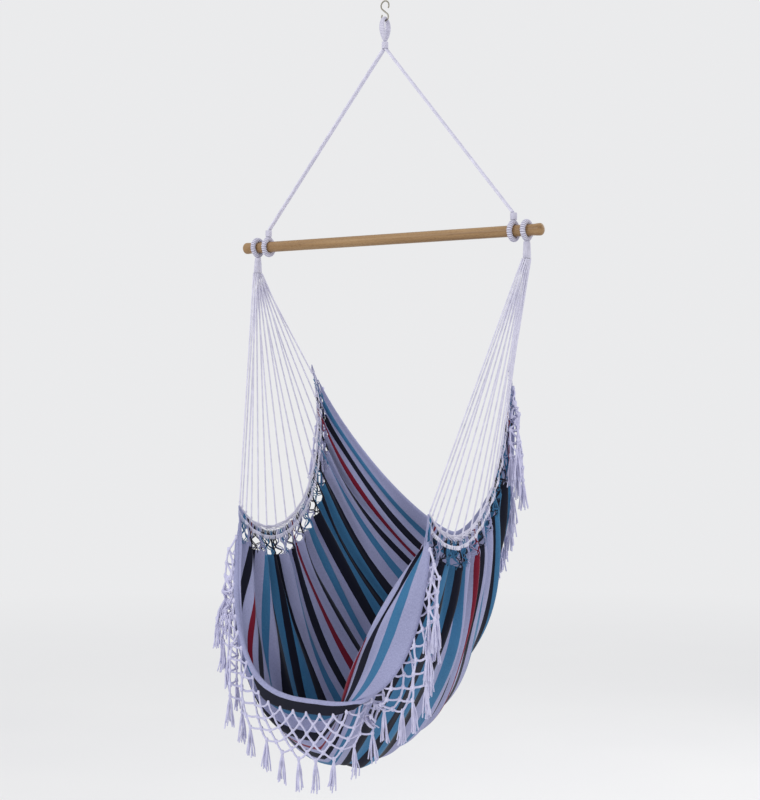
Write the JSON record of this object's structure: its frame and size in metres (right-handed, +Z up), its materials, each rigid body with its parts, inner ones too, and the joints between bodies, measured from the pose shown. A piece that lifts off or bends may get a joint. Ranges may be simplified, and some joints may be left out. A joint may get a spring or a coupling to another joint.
{
  "type": "hanging hammock chair",
  "caption": "Hanging chair: a striped cotton seat on fans of strings below a round wooden spreader bar, with a rope yoke and a steel S-hook.",
  "frame": {"origin": "where a ceiling ring bears on the inside of the S-hook's upper bend", "axes": "+Z up, X along the spreader bar, the sitter faces -Y"},
  "size_m": [1, 0.711, 2.1357],
  "materials": {
    "hook_steel": "zinc plated",
    "white_rope": "wrapped and twisted cotton",
    "beech": "oiled, satin",
    "striped_cloth": "striped plain-weave cotton",
    "bare_warp": "bare warp threads with a white woven band",
    "white_net": "knotted cotton net"
  },
  "bodies": {
    "hook": {"s_hook": "hook_steel"},
    "eye": {"rope_eye": "white_rope"},
    "yoke": {"eye_whipping": "white_rope", "leg_cord_left_1": "white_rope", "leg_cord_left_2": "white_rope", "leg_cord_left_3": "white_rope", "leg_cord_right_1": "white_rope", "leg_cord_right_2": "white_rope", "leg_cord_right_3": "white_rope", "yoke_loop_left": "white_rope", "yoke_loop_right": "white_rope", "yoke_loop_whipping_left": "white_rope", "yoke_loop_whipping_right": "white_rope"},
    "bar": {"spreader_bar": "beech"},
    "seat": {"seat_loop_left": "white_rope", "seat_loop_right": "white_rope", "seat_loop_whipping_left": "white_rope", "seat_loop_whipping_right": "white_rope", "string_left_01": "white_rope", "string_left_02": "white_rope", "string_left_03": "white_rope", "string_left_04": "white_rope", "string_left_05": "white_rope", "string_left_06": "white_rope", "string_left_07": "white_rope", "string_left_08": "white_rope", "string_left_09": "white_rope", "string_left_10": "white_rope", "string_left_11": "white_rope", "string_left_12": "white_rope", "string_left_13": "white_rope", "string_left_14": "white_rope", "string_left_15": "white_rope", "string_left_16": "white_rope", "string_right_01": "white_rope", "string_right_02": "white_rope", "string_right_03": "white_rope", "string_right_04": "white_rope", "string_right_05": "white_rope", "string_right_06": "white_rope", "string_right_07": "white_rope", "string_right_08": "white_rope", "string_right_09": "white_rope", "string_right_10": "white_rope", "string_right_11": "white_rope", "string_right_12": "white_rope", "string_right_13": "white_rope", "string_right_14": "white_rope", "string_right_15": "white_rope", "string_right_16": "white_rope", "openwork_left": "bare_warp", "openwork_right": "bare_warp", "seat_cloth": "striped_cloth", "front_fringe": "white_net", "back_fringe": "white_net"}
  },
  "joints": [
    {"name": "eye_swing", "type": "hinge", "parent": "hook", "child": "eye", "pos_m": [0, 0, -0.053], "axis": [1, 0, 0], "range_deg": [-35, 35]},
    {"name": "yoke_sway", "type": "hinge", "parent": "eye", "child": "yoke", "pos_m": [0, 0, -0.1057], "axis": [0, 1, 0], "range_deg": [-18, 18]},
    {"name": "bar_roll", "type": "hinge", "parent": "yoke", "child": "bar", "pos_m": [0, 0, -0.655], "axis": [1, 0, 0], "continuous": true},
    {"name": "seat_swing", "type": "hinge", "parent": "yoke", "child": "seat", "pos_m": [0, 0, -0.655], "axis": [1, 0, 0], "range_deg": [-30, 30]}
  ]
}
